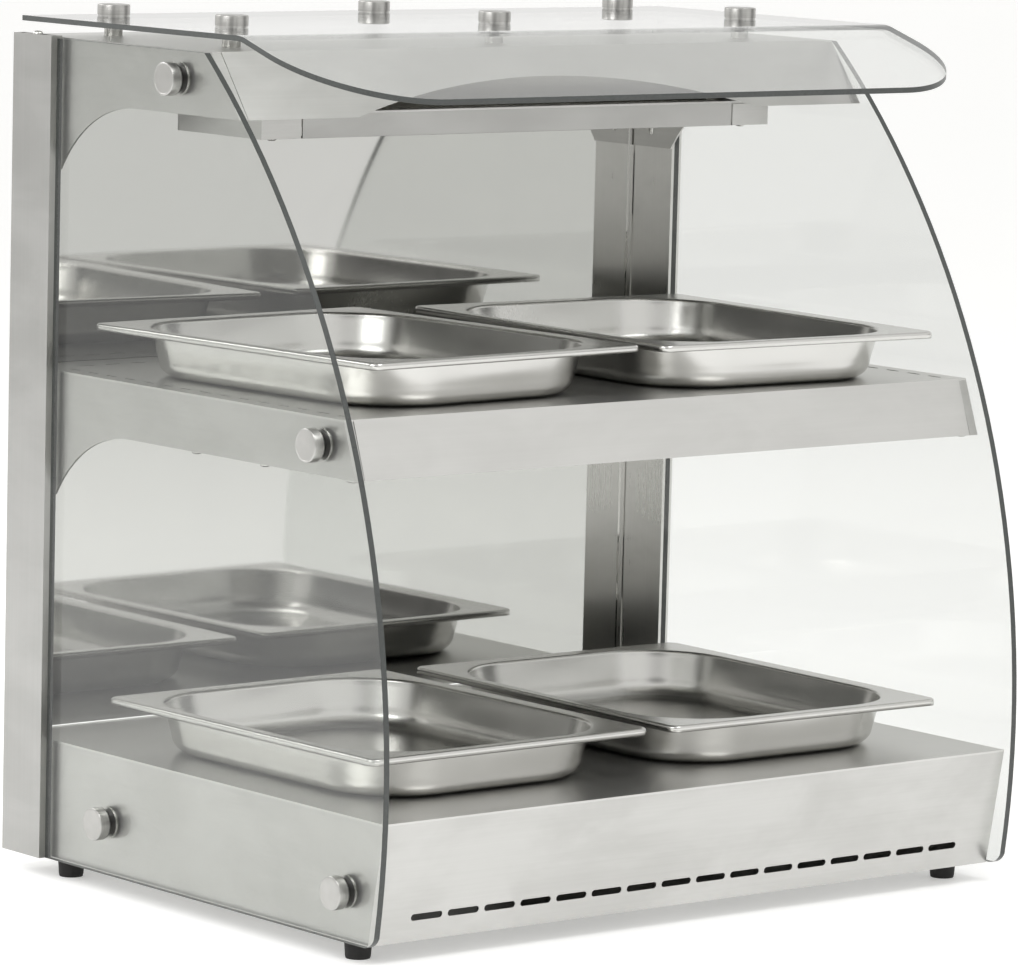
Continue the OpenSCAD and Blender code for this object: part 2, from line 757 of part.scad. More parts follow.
// Canopy: flat over the hood, then bent down into a visor with round corners.
module canopy_glass() {
    bend_r = 30;
    rear = 14;
    turn = bend_r * tan(visor_angle / 2);
    reach = 160;
    drop = reach * tan(visor_angle);
    corner_y = -canopy_front_d + canopy_corner_r;
    along = [-cos(visor_angle), -sin(visor_angle)] * reach;
    under = bend_points(bend_r, turn);
    over = bend_points(bend_r + canopy_t, turn);
    color(glass_tint) from_rear() difference() {
        intersection() {
            across(-canopy_w / 2, canopy_w / 2)
                polygon(concat([[-rear, canopy_bottom]], under, [under[4] + along, over[4] + along],
                               [for (i = [4 : -1 : 0]) over[i]], [[-rear, canopy_top]]));
            translate([0, 0, canopy_bottom - drop - 10]) linear_extrude(drop + 30) {
                translate([-canopy_w / 2 - 1, corner_y]) square([canopy_w + 2, -corner_y]);
                translate([-canopy_w / 2 + canopy_corner_r, -canopy_front_d])
                    square([canopy_w - 2 * canopy_corner_r, canopy_corner_r + 1]);
                for (s = [-1, 1]) translate([s * (canopy_w / 2 - canopy_corner_r), corner_y])
                    circle(canopy_corner_r, $fn = 120);
            }
        }
        for (p = canopy_standoffs)
            translate([p[0], -p[1], canopy_bottom - 1]) cylinder(d = stud_d + 2, h = canopy_t + 2);
    }
}

module canopy_caps() {
    bevel = 0.8;
    color(bright_steel) from_rear() for (p = canopy_standoffs)
        translate([p[0], -p[1], canopy_top + gasket_t]) {
            cylinder(d = cap_d, h = cap_t - bevel);
            translate([0, 0, cap_t - bevel]) cylinder(d1 = cap_d, d2 = cap_d - 2 * bevel, h = bevel);
            translate([0, 0, -gasket_t - canopy_t - 5]) cylinder(d = stud_d, h = 7 + canopy_t);
        }
}

module canopy_gaskets() {
    color(rubber_black) from_rear() for (p = canopy_standoffs)
        for (z = [canopy_bottom - gasket_t, canopy_top])
            translate([p[0], -p[1], z]) difference() {
                cylinder(d = z > canopy_bottom ? cap_d - 1 : 17, h = gasket_t);
                translate([0, 0, -1]) cylinder(d = stud_d + 0.2, h = 3);
            }
}

module canopy_posts() {
    h = canopy_gap - gasket_t;
    color(bright_steel) from_rear() for (p = canopy_standoffs) translate([p[0], -p[1], hood_top])
        difference() {
            union() {
                cylinder(d = 14, h = h);
                translate([0, 0, -9]) cylinder(d = stud_d, h = 9.01);
            }
            translate([0, 0, h - 4.5]) cylinder(d = stud_d + 0.1, h = 5);
        }
}

// ---- Rear door -------------------------------------------------------------------------

module hinge_knuckle(l) {
    difference() {
        cylinder(r = knuckle_r, h = l);
        translate([0, 0, -1]) cylinder(d = hinge_pin_d + 0.1, h = l + 2);
    }
}

module hinge_frame_leaves() {
    third = hinge_l / 3;
    leaf = 1.2;
    color(bright_steel) from_rear() for (z = hinge_heights)
        translate([hinge_x, hinge_y, z - hinge_l / 2]) difference() {
            union() {
                for (low = [0, 2 * third]) translate([0, 0, low]) hinge_knuckle(third - 0.15);
                for (low = [0, 2 * third])
                    plate([1.6, -knuckle_r, low], [post_w + 0.5, -knuckle_r + leaf, low + third - 0.15]);
                plate([4, -knuckle_r, 0], [post_w + 0.5, -knuckle_r + leaf, hinge_l - 0.15]);
            }
            for (dz = [-17, 17])
                translate([post_w / 2 + 1.5, -knuckle_r - 1, hinge_l / 2 + dz]) rod_y(3.2, 4);
        }
}

module hinge_door_leaves() {
    third = hinge_l / 3;
    leaf = 1.2;
    color(bright_steel) from_rear() for (z = hinge_heights)
        translate([hinge_x, hinge_y, z - hinge_l / 2 + third + 0.15]) union() {
            hinge_knuckle(third - 0.45);
            plate([-knuckle_r, 1.6, 0], [-knuckle_r + leaf, 9, third - 0.45]);
            plate([-knuckle_r, 4.5, -third], [-knuckle_r + leaf, 9, 2 * third - 0.6]);
        }
}

module hinge_pins() {
    color(bright_steel) from_rear() for (z = hinge_heights)
        translate([hinge_x, hinge_y, z - hinge_l / 2 - 1]) {
            cylinder(d = hinge_pin_d, h = hinge_l + 2);
            translate([0, 0, hinge_l + 1]) cylinder(d = 5, h = 1.5);
        }
}

// Flat magnets on the rear face of the shelf box that hold the door's tray.
module door_catches() {
    color(plastic_black) from_rear() for (x = [-270, -180])
        plate([x, -arm_rear_d, shelf_top - 34], [x + 60, -sheet - 0.3, shelf_top - 8]);
}

// Mirror-finished tray: its bright face closes the back of both bays.
module door_mirror_panel() {
    color(mirror_steel) from_rear() difference() {
        union() {
            plate([door_left, -sheet, door_low], [door_right, door_t - sheet, door_high]);
            plate([-half_w + 0.7, -sheet, door_low], [half_w - 0.7, -0.3, door_high]);
            for (x = [-half_w + 0.7, half_w - 5])
                plate([x, -sheet - 1, door_low], [x + 4.3, -0.3, door_high]);
        }
        plate([door_left + sheet, 0, door_low + sheet], [door_right - sheet, door_t, door_high - sheet]);
    }
}

module door_back_cover() {
    color(steel) from_rear() difference() {
        plate([door_left, door_t - sheet, door_low], [door_right, door_t, door_high]);
        for (z = [-1, 1])
            translate([door_left + 40, door_t - 2, (door_low + door_high) / 2 + z * handle_l / 2])
                rod_y(5.2, 4);
    }
}

module door_handle() {
    bend = 12;
    mid = (door_low + door_high) / 2;
    color(bright_steel) from_rear() translate([door_left + 40, door_t, mid]) {
        for (s = [-1, 1]) scale([1, 1, s]) {
            translate([0, 0, handle_l / 2]) rod_y(handle_rod_d, handle_reach - bend + 0.01);
            translate([0, 0, handle_l / 2]) rod_y(15, 2);
            translate([0, -sheet - 3, handle_l / 2]) rod_y(5, 4);
            translate([0, -sheet - 3.5, handle_l / 2]) rod_y(9, 3.4);
            translate([0, handle_reach - bend, handle_l / 2 - bend]) rotate([0, -90, 0])
                rotate_extrude(angle = 90) translate([bend, 0]) circle(d = handle_rod_d);
            translate([0, handle_reach, 0]) cylinder(d = handle_rod_d, h = handle_l / 2 - bend + 0.01);
        }
    }
}

// ---- Pans --------------------------------------------------------------------------------

// A rounded slab pair joined into the tapered well of a pan.
module pan_well(top_w, top_l, low, high, shrink) {
    r = well_r;
    hull() for (x = [-1, 1]) for (y = [-1, 1]) {
        translate([x * (top_w / 2 - r), y * (top_l / 2 - r), high - 1]) cylinder(r = r, h = 1, $fn = 32);
        translate([x * (top_w / 2 - r), y * (top_l / 2 - r), low]) cylinder(r = r - shrink, h = 1, $fn = 32);
    }
}

module pan(x, d, z, turn) {
    well_w = pan_w - 26;
    well_l = pan_l - 26;
    rim_r = 9;
    lift = 0.2;
    color(bright_steel) from_rear() translate([x, -d, z + lift]) rotate(turn) difference() {
        union() {
            pan_well(well_w, well_l, 0, pan_h, 7);
            translate([0, 0, pan_h - 1.6]) linear_extrude(1.6) rounded_square(pan_w, pan_l, rim_r);
            translate([0, 0, pan_h - 5]) linear_extrude(4) difference() {
                rounded_square(pan_w, pan_l, rim_r);
                rounded_square(pan_w - 2, pan_l - 2, rim_r - 1);
            }
        }
        translate([0, 0, pan_sheet])
            pan_well(well_w - 2 * pan_sheet, well_l - 2 * pan_sheet, 0, pan_h + 2, 7);
    }
}

module upper_left_pan() {
    pan(-150, 232, shelf_top, 3.4);
}

module upper_right_pan() {
    pan(142, 243, shelf_top, -2.5);
}

module lower_left_pan() {
    pan(-152, 258, base_top, 0.6);
}

module lower_right_pan() {
    pan(137, 264, base_top, -1.2);
}

base_casing();
base_deck();
base_bottom_plate();
base_rear_panel();
base_heat_shield();
base_heater();
heater_clips();
feet();
foot_screws();
terminal_block();
cord_gland();
thermostat_body();
pilot_lamp();
switch_housings();
left_post();
right_post();
post_caps();
post_screws();
shelf_deck();
shelf_bottom_cover();
shelf_arm_left();
shelf_arm_right();
shelf_heater();
shelf_screws();
hood_shell();
hood_underside();
hood_arm_left();
hood_arm_right();
hood_rear_panel();
lamp_box();
lamp_end_blocks();
lamp_front_strip();
heat_lamps();
lamp_holders();
lamp_reflector();
lamp_screws();
side_glass_left();
side_glass_right();
side_standoff_caps();
side_standoff_gaskets();
side_standoff_nuts();
canopy_glass();
canopy_caps();
canopy_gaskets();
canopy_posts();
hinge_frame_leaves();
hinge_pins();
door_catches();
door_mirror_panel();
door_back_cover();
door_handle();
hinge_door_leaves();
thermostat_knob();
heat_rocker();
light_rocker();
upper_left_pan();
upper_right_pan();
lower_left_pan();
lower_right_pan();
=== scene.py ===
import math

import bmesh
import bpy
from mathutils import Matrix, Vector


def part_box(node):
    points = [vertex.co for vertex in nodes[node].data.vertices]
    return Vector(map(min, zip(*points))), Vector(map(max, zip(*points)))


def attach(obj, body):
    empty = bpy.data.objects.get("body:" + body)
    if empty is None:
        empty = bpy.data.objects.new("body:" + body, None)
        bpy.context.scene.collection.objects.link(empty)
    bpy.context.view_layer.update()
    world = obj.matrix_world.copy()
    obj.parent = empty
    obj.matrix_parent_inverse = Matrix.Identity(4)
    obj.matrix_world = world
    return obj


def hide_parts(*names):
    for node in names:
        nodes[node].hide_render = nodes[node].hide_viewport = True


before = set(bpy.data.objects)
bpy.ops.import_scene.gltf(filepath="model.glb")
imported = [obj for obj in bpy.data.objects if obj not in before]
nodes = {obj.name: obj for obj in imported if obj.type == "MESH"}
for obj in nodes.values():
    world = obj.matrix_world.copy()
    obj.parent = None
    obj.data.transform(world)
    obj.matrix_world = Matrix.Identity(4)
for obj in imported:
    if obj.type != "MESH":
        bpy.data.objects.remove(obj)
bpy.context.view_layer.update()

# ---- Studio and camera ---------------------------------------------------------
# A white table top under a bright, even room. One dark doorway behind the camera
# and one dark gap at the right give the polished steel something to mirror.

scene = bpy.context.scene
scene.view_settings.view_transform = "Standard"


class Wire:
    """One socket of a shader. Sums on it add Math nodes; add() makes any other node."""

    def __init__(self, tree, socket=None):
        self.tree = tree
        self.socket = socket

    def add(self, kind, settings=None, sockets=None, output=0):
        node = self.tree.nodes.new("ShaderNode" + kind)
        for name, value in (settings or {}).items():
            setattr(node, name, value)
        for name, value in (sockets or {}).items():
            if isinstance(value, Wire):
                self.tree.links.new(value.socket, node.inputs[name])
            else:
                node.inputs[name].default_value = value
        return Wire(self.tree, node.outputs[output] if node.outputs else None)

    def math(self, operation, *others):
        values = {i: v for i, v in enumerate((self,) + others)}
        return self.add("Math", {"operation": operation}, values)

    def __add__(self, other):
        return self.math("ADD", other)

    __radd__ = __add__

    def __mul__(self, other):
        return self.math("MULTIPLY", other)

    __rmul__ = __mul__

    def __sub__(self, other):
        return self.math("SUBTRACT", other)

    def __rsub__(self, other):
        return self.add("Math", {"operation": "SUBTRACT"}, {0: other, 1: self})

    def step(self, low, high):
        """0 below low, 1 above high and a smooth rise between them."""
        sockets = {"Value": self, "From Min": low, "From Max": high}
        return self.add("MapRange", {"interpolation_type": "SMOOTHSTEP"}, sockets)

    def choose(self, when_0, when_1):
        """A colour that goes from when_0 to when_1 as this value rises to 1."""
        return self.add("Mix", {"data_type": "RGBA"}, {0: self, 6: when_0, 7: when_1}, 2)

    def stretched(self, x, y, z):
        """This vector with each axis multiplied."""
        return self.add("VectorMath", {"operation": "MULTIPLY"}, {0: self, 1: (x, y, z)})

    def noise(self, scale, detail=2.0, roughness=0.5, distortion=0.0):
        """Cloudy noise from 0 to 1 at this place."""
        sockets = {"Vector": self, "Scale": scale, "Detail": detail,
                   "Roughness": roughness, "Distortion": distortion}
        return self.add("TexNoise", None, sockets)

    def axis(self, letter):
        return self.add("SeparateXYZ", None, {0: self}, letter)


camera_azimuth = math.radians(39.19)
camera_elevation = math.radians(7.295)
camera_roll = math.radians(1.44)
camera_distance = 4.641
aim_point = Vector((0.0092, 0.0, 0.3016))
lens_mm = 212.45

camera_side = Vector((-math.sin(camera_azimuth), -math.cos(camera_azimuth), 0.0))
to_camera = Vector((camera_side.x * math.cos(camera_elevation),
                    camera_side.y * math.cos(camera_elevation),
                    math.sin(camera_elevation)))
camera = bpy.data.objects.new("camera", bpy.data.cameras.new("camera"))
scene.collection.objects.link(camera)
level = to_camera.to_track_quat("Z", "Y").to_matrix().to_4x4()
camera.matrix_world = (Matrix.Translation(aim_point + to_camera * camera_distance)
                       @ level @ Matrix.Rotation(camera_roll, 4, "Z"))
camera.data.lens = lens_mm
camera.data.sensor_width = 36.0
camera.data.clip_end = 60.0
scene.camera = camera

room_light = 1.0
world = bpy.data.worlds.new("room")
scene.world = world
world.use_nodes = True
world.node_tree.nodes.clear()
sky = Wire(world.node_tree)
direction = sky.add("TexCoord", output="Generated")


def darkness(azimuth_deg, half_width_deg, soft_deg, low, high):
    """A dark upright gap in the room, seen from the object at that azimuth."""
    azimuth = math.radians(azimuth_deg)
    heading = (-math.sin(azimuth), -math.cos(azimuth), 0.0)
    facing = direction.add("VectorMath", {"operation": "DOT_PRODUCT"},
                           {0: direction, 1: heading}, "Value")
    inside = facing.step(math.cos(math.radians(half_width_deg + soft_deg)),
                         math.cos(math.radians(half_width_deg)))
    return inside * direction.axis("Z").step(low, high)


gap = darkness(39, 13, 9, -0.02, 0.05)
gap = gap.math("MAXIMUM", darkness(-62, 12, 9, -0.02, 0.05))
gap = gap.math("MAXIMUM", darkness(118, 8, 8, 0.02, 0.10))
gap = gap.math("MAXIMUM", darkness(82, 5, 6, -0.02, 0.05))
gap = gap.math("MAXIMUM", darkness(2, 5, 6, -0.02, 0.05))
overhead = direction.axis("Z").step(0.35, 0.95) * 0.45
brightness = room_light * (1.0 - overhead) * (1.0 - 0.88 * gap)
lit = sky.add("Background", None, {"Color": (1.0, 0.995, 0.98, 1.0), "Strength": brightness})
sky.add("OutputWorld", None, {"Surface": lit})


def soft_box(name, azimuth_deg, elevation_deg, distance, size, power):
    """A large rectangular lamp that points at the middle of the case."""
    azimuth, rise = math.radians(azimuth_deg), math.radians(elevation_deg)
    away = Vector((-math.sin(azimuth) * math.cos(rise),
                   -math.cos(azimuth) * math.cos(rise), math.sin(rise)))
    lamp = bpy.data.objects.new(name, bpy.data.lights.new(name, "AREA"))
    lamp.data.shape = "RECTANGLE"
    lamp.data.size, lamp.data.size_y = size
    lamp.data.energy = power
    lamp.matrix_world = (Matrix.Translation(aim_point + away * distance)
                         @ away.to_track_quat("Z", "Y").to_matrix().to_4x4())
    scene.collection.objects.link(lamp)


soft_box("key_box", 80, 38, 2.6, (1.3, 1.6), 26)
soft_box("front_box", -12, 56, 2.8, (1.5, 1.2), 24)
soft_box("rear_box", 150, 35, 2.8, (1.6, 1.2), 20)


def finish(name, recipe):
    """A material whose surface is what recipe(wire) returns."""
    material = bpy.data.materials.new(name)
    material.use_nodes = True
    material.node_tree.nodes.clear()
    wire = Wire(material.node_tree)
    wire.add("OutputMaterial", None, {"Surface": recipe(wire)})
    return material


def table_top(wire):
    """Matt white laminate with a very faint mottle."""
    place = wire.add("TexCoord", output="Object")
    mottle = place.noise(3.0, 3.0)
    colour = mottle.choose((0.87, 0.87, 0.865, 1), (0.89, 0.89, 0.885, 1))
    sockets = {"Base Color": colour, "Roughness": 0.55, "Specular IOR Level": 0.2,
               "Emission Color": (1.0, 1.0, 0.99, 1), "Emission Strength": 0.30}
    return wire.add("BsdfPrincipled", None, sockets)


def mesh_object(name, points, faces, material, smooth=True):
    """A new object from points and faces, with its faces turned outwards."""
    mesh = bpy.data.meshes.new(name)
    mesh.from_pydata(points, [], faces)
    work = bmesh.new()
    work.from_mesh(mesh)
    bmesh.ops.recalc_face_normals(work, faces=work.faces)
    work.to_mesh(mesh)
    work.free()
    mesh.polygons.foreach_set("use_smooth", [smooth] * len(mesh.polygons))
    mesh.materials.append(material)
    piece = bpy.data.objects.new(name, mesh)
    scene.collection.objects.link(piece)
    return piece


floor_half = 40.0
floor_corners = [(-floor_half, -floor_half, 0), (floor_half, -floor_half, 0),
                 (floor_half, floor_half, 0), (-floor_half, floor_half, 0)]
floor = mesh_object("floor", floor_corners, [(0, 1, 2, 3)], finish("table_top", table_top), False)

# ---- Base box ------------------------------------------------------------------
# Folded from 1.5 mm stainless sheet with a brushed finish, lightly smudged by
# handling. The vent slots are punched; the deck is a second sheet laid on top.


def sheet_steel(grain, dull=0.30, tone=0.55, scratch=0.03, patchy=0.12):
    """Brushed sheet. grain is the streaks per metre along x, y and z."""

    def recipe(wire):
        place = wire.add("TexCoord", output="Object")
        across = wire.add("TexCoord", output="Normal").axis("X")
        on_side = across.math("ABSOLUTE").step(0.5, 0.7)
        front_grain = place.stretched(*grain)
        side_grain = place.stretched(grain[1], grain[0], grain[2])
        streak_place = wire.add("Mix", {"data_type": "VECTOR"},
                                {0: on_side, 4: front_grain, 5: side_grain}, 1)
        streak = streak_place.noise(1.0, 3.0, 0.6)
        cloud = place.stretched(0.7, 0.7, 1.6).noise(11.0, 4.0, 0.6, 0.4)
        shade = 0.45 * streak + 0.55 * cloud.step(0.32, 0.68)
        light = (tone * (1 + patchy), tone * (0.995 + patchy), tone * (0.965 + patchy), 1)
        dark = (tone * (1 - patchy), tone * (0.995 - patchy), tone * (0.965 - patchy), 1)
        rough = dull - 0.05 + 0.10 * cloud + 0.06 * streak
        ridges = wire.add("Bump", None, {"Strength": scratch, "Distance": 0.0002, "Height": streak})
        sockets = {"Base Color": shade.choose(dark, light), "Metallic": 1.0,
                   "Roughness": rough, "Normal": ridges}
        return wire.add("BsdfPrincipled", None, sockets)

    return recipe


def soften(name, width, segments=2):
    """Rounds the folded or deburred edges of a CAD node."""
    piece = nodes[name]
    weld = piece.modifiers.new("join_faces", "WELD")
    weld.merge_threshold = 0.00001
    fold = piece.modifiers.new("fold_radius", "BEVEL")
    fold.width = width
    fold.segments = segments
    fold.limit_method = "ANGLE"
    fold.angle_limit = math.radians(40)
    fold.harden_normals = True
    fold.use_clamp_overlap = True


def dress(names, material, edge=0.0):
    """Gives CAD nodes their finish, and a small edge radius where they have one."""
    for name in names:
        nodes[name].data.materials.clear()
        nodes[name].data.materials.append(material)
        if edge:
            soften(name, edge)


along_x = (5.0, 520.0, 520.0)
along_z = (520.0, 520.0, 5.0)
brushed = finish("brushed_sheet", sheet_steel(along_x))
dress(["base_casing", "base_bottom_plate", "base_rear_panel"], brushed)
deck_steel = finish("deck_sheet", sheet_steel(along_x, dull=0.32, tone=0.64, scratch=0.01, patchy=0.06))
dress(["base_deck"], deck_steel)


def bright_sheet(wire):
    """Thin bright-annealed sheet of the hidden shield, clips and reflector."""
    place = wire.add("TexCoord", output="Object")
    bloom = place.noise(14.0, 3.0, 0.5, 0.8)
    colour = bloom.choose((0.52, 0.51, 0.48, 1), (0.66, 0.65, 0.62, 1))
    sockets = {"Base Color": colour, "Metallic": 1.0, "Roughness": 0.16 + 0.16 * bloom}
    return wire.add("BsdfPrincipled", None, sockets)


def heater_sheath(wire):
    """Sheathed element, straw and blue-grey where it has run hot."""
    place = wire.add("TexCoord", output="Object")
    heat = place.noise(18.0, 3.0)
    colour = heat.choose((0.14, 0.12, 0.10, 1), (0.32, 0.26, 0.20, 1))
    scale = place.noise(900.0, 2.0)
    skin = wire.add("Bump", None, {"Strength": 0.3, "Distance": 0.0001, "Height": scale})
    sockets = {"Base Color": colour, "Metallic": 0.7, "Roughness": 0.35 + 0.25 * heat, "Normal": skin}
    return wire.add("BsdfPrincipled", None, sockets)


bright = finish("bright_sheet", bright_sheet)
dress(["base_heat_shield", "heater_clips", "lamp_reflector"], bright)
dress(["base_heater", "shelf_heater"], finish("heater_sheath", heater_sheath))

# ---- Posts ---------------------------------------------------------------------
# Hollow brushed posts at the rear corners, grained along their length, with a
# plate pressed into each end and button-head screws through their inner walls.

post_steel = finish("post_sheet", sheet_steel(along_z, dull=0.30, tone=0.42, patchy=0.12))
dress(["left_post", "post_caps"], post_steel)
# Painted light: the right post gets the same steel at a lighter tone, for the light that reaches its inner
# face through the panes and off the mirror.
right_post_painted_light_sheet = sheet_steel(along_z, dull=0.26, tone=0.68, scratch=0.008, patchy=0.10)
dress(["right_post"], finish("right_post_painted_light_sheet", right_post_painted_light_sheet))


def solids_of(name):
    """The lowest and highest corner of each separate solid in a CAD node."""
    work = bmesh.new()
    work.from_mesh(nodes[name].data)
    bmesh.ops.remove_doubles(work, verts=work.verts, dist=0.000005)
    work.verts.ensure_lookup_table()
    seen = [False] * len(work.verts)
    corners = []
    for first in range(len(work.verts)):
        if seen[first]:
            continue
        seen[first] = True
        group = [work.verts[first]]
        for vertex in group:
            for edge in vertex.link_edges:
                other = edge.other_vert(vertex)
                if not seen[other.index]:
                    seen[other.index] = True
                    group.append(other)
        low = Vector([min(vertex.co[i] for vertex in group) for i in range(3)])
        high = Vector([max(vertex.co[i] for vertex in group) for i in range(3)])
        corners.append((low, high))
    work.free()
    return corners


def turned_parts(name, places, outline, material, steps=36, crease=32):
    """Equal lathe-turned parts in one piece. Each place is a matrix whose Z is the
    part's axis; outline is a list of millimetre (radius, height, flats)."""
    points, faces = [], []
    for place in places:
        start = len(points)
        for radius, height, flats in outline:
            for step in range(steps):
                angle = 2 * math.pi * step / steps
                reach = radius / 1000
                if flats:
                    half = math.pi / flats
                    reach *= math.cos(half) / math.cos(angle % (2 * half) - half)
                spot = Vector((reach * math.cos(angle), reach * math.sin(angle), height / 1000))
                points.append(tuple(place @ spot))
        for ring in range(len(outline) - 1):
            for i in range(steps):
                j = (i + 1) % steps
                low, high = start + ring * steps, start + (ring + 1) * steps
                faces.append((low + i, low + j, high + j, high + i))
        faces.append(tuple(range(start + steps - 1, start - 1, -1)))
        last = start + (len(outline) - 1) * steps
        faces.append(tuple(range(last, last + steps)))
    piece = mesh_object(name, points, faces, material)
    piece.data.set_sharp_from_angle(angle=math.radians(crease))
    return piece


def seat(node_name, outward):
    """Where each solid of a node has its outer end, as matrices with Z pointing out."""
    places = []
    for low, high in solids_of(node_name):
        middle = (low + high) / 2
        away = outward(middle)
        tip = Vector([high[i] if away[i] > 0 else low[i] if away[i] < 0 else middle[i] for i in range(3)])
        places.append(Matrix.Translation(tip) @ away.to_track_quat("Z", "Y").to_matrix().to_4x4())
    return places


def turned_steel(wire):
    """Bright bar stock with the fine rings that turning leaves."""
    place = wire.add("TexCoord", output="Object")
    rings = place.noise(1600.0, 2.0, 0.6)
    colour = rings.choose((0.60, 0.595, 0.57, 1), (0.74, 0.735, 0.71, 1))
    skin = wire.add("Bump", None, {"Strength": 0.08, "Distance": 0.0001, "Height": rings})
    sockets = {"Base Color": colour, "Metallic": 1.0, "Roughness": 0.16 + 0.12 * rings, "Normal": skin}
    return wire.add("BsdfPrincipled", None, sockets)


turned = finish("turned_steel", turned_steel)
post_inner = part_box("base_casing")[1].x
top_of_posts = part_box("left_post")[1].z
button_head = [(2.3, -7.4, 0), (2.3, -2.4, 0), (4.0, -2.4, 0), (4.0, -1.9, 0), (3.8, -1.25, 0),
               (3.4, -0.7, 0), (2.8, -0.25, 0), (2.2, -0.03, 0), (1.7, 0.0, 0), (1.5, -0.05, 6),
               (1.45, -1.5, 6)]


def out_of_post(middle):
    """The way a post screw's head faces: into the case, or up or down at a post's ends."""
    if abs(middle.x) < post_inner:
        return Vector((-1.0 if middle.x > 0 else 1.0, 0, 0))
    return Vector((0, 0, 1.0 if middle.z > top_of_posts / 2 else -1.0))


post_screw_heads = turned_parts("post_button_screws", seat("post_screws", out_of_post), button_head, turned)
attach(post_screw_heads, "case")
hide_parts("post_screws")

# ---- Shelf and hood ------------------------------------------------------------
# Arms, decks and covers in the same brushed sheet. The arms sweep down to the
# posts in a curved gusset; the hood's front is cut away in a shallow arch.

dress(["shelf_arm_left", "shelf_arm_right", "hood_arm_left", "hood_arm_right"], brushed)
dress(["shelf_bottom_cover", "hood_shell", "hood_underside", "hood_rear_panel"], brushed)
dress(["shelf_deck"], deck_steel)

# ---- Lamp box ------------------------------------------------------------------
# A shallow box under the hood that carries two clear quartz heat lamps in
# ceramic holders, with a polished strip along its front.

dress(["lamp_box"], finish("lamp_box_sheet", sheet_steel(along_x, tone=0.44)))
dress(["lamp_end_blocks"], brushed, 0.0003)
dress(["lamp_front_strip"], finish("strip_steel", sheet_steel(along_x, dull=0.18, tone=0.43)), 0.0003)


def quartz_tube(wire):
    """Frosted quartz with a faint milky shade along the filament."""
    place = wire.add("TexCoord", output="Object")
    frost = place.noise(240.0, 2.0)
    colour = frost.choose((0.80, 0.78, 0.72, 1), (0.90, 0.89, 0.84, 1))
    sockets = {"Base Color": colour, "Roughness": 0.12 + 0.15 * frost}
    return wire.add("BsdfPrincipled", None, sockets)


def ceramic(wire):
    """Unglazed steatite, slightly grainy."""
    place = wire.add("TexCoord", output="Object")
    grain = place.noise(1200.0, 2.0)
    colour = place.noise(60.0).choose((0.74, 0.71, 0.64, 1), (0.84, 0.82, 0.76, 1))
    skin = wire.add("Bump", None, {"Strength": 0.4, "Distance": 0.00015, "Height": grain})
    return wire.add("BsdfPrincipled", None, {"Base Color": colour, "Roughness": 0.6, "Normal": skin})


white_ceramic = finish("steatite", ceramic)
dress(["heat_lamps"], finish("quartz_tube", quartz_tube))
dress(["lamp_holders"], white_ceramic, 0.0004)

# ---- Rear door -----------------------------------------------------------------
# A folded tray of mirror-polished sheet that faces the customer, closed behind
# by a brushed cover. A bent rod handle and two pinned hinges sit at the back.


def mirror_steel(wire):
    """Super-mirror sheet with a faint haze of wiping marks."""
    place = wire.add("TexCoord", output="Object")
    haze = place.noise(11.0, 4.0, 0.6, 1.2)
    wave = place.noise(3.0, 1.0)
    sway = wire.add("Bump", None, {"Strength": 0.10, "Distance": 0.002, "Height": wave})
    colour = haze.choose((0.585, 0.585, 0.57, 1), (0.62, 0.62, 0.60, 1))
    sockets = {"Base Color": colour, "Metallic": 1.0, "Roughness": 0.015 + 0.04 * haze, "Normal": sway}
    return wire.add("BsdfPrincipled", None, sockets)


dress(["door_mirror_panel"], finish("mirror_sheet", mirror_steel))
dress(["door_back_cover"], finish("door_sheet", sheet_steel(along_z, dull=0.30)))
dress(["door_handle"], turned)
dress(["hinge_frame_leaves", "hinge_door_leaves", "hinge_pins"], turned)

# ---- Glass ---------------------------------------------------------------------
# Two toughened side panes with one long curved front edge, and a canopy bent
# down into a visor. Their ground edges get painted shade: opaque dark grey for the thick glass.


def pane_glass(face_axis, clear_back=0.0):
    """Clear glass whose faces look along face_axis; the ground edges are painted shade, an opaque dark grey
    for the thick glass.
    """

    def recipe(wire):
        coordinates = wire.add("TexCoord", output="Normal")
        edge = 1.0 - coordinates.axis(face_axis).math("ABSOLUTE").step(0.55, 0.75)
        edge = edge * (1.0 - clear_back * coordinates.axis("Y").step(0.8, 0.95))
        place = wire.add("TexCoord", output="Object")
        film = place.noise(6.0, 4.0, 0.6, 0.8)
        clear = wire.add("BsdfTransparent", None, {"Color": (0.912, 0.917, 0.910, 1)})
        sheen = wire.add("BsdfAnisotropic", None, {"Color": (1, 1, 1, 1), "Roughness": 0.005 + 0.02 * film})
        slant = wire.add("LayerWeight", None, {"Blend": 0.5}, "Facing")
        bounce = 0.045 + 0.955 * slant.math("POWER", 5.0)
        pane = wire.add("MixShader", None, {0: bounce, 1: clear, 2: sheen})
        # Painted shade: the ground edges are an opaque dark grey surface, not glass, for the dark look of
        # the thick glass; clear_back leaves the rear edges clear.
        grind = place.noise(700.0, 2.0)
        colour = grind.choose((0.030, 0.034, 0.033, 1), (0.080, 0.085, 0.082, 1))
        painted_shade_rim = wire.add("BsdfPrincipled", None, {"Base Color": colour, "Roughness": 0.22 + 0.2 * grind})
        return wire.add("MixShader", None, {0: edge, 1: pane, 2: painted_shade_rim})

    return recipe


dress(["side_glass_left", "side_glass_right"], finish("side_pane_glass", pane_glass("X", 1.0)))
dress(["canopy_glass"], finish("canopy_pane_glass", pane_glass("Z")))


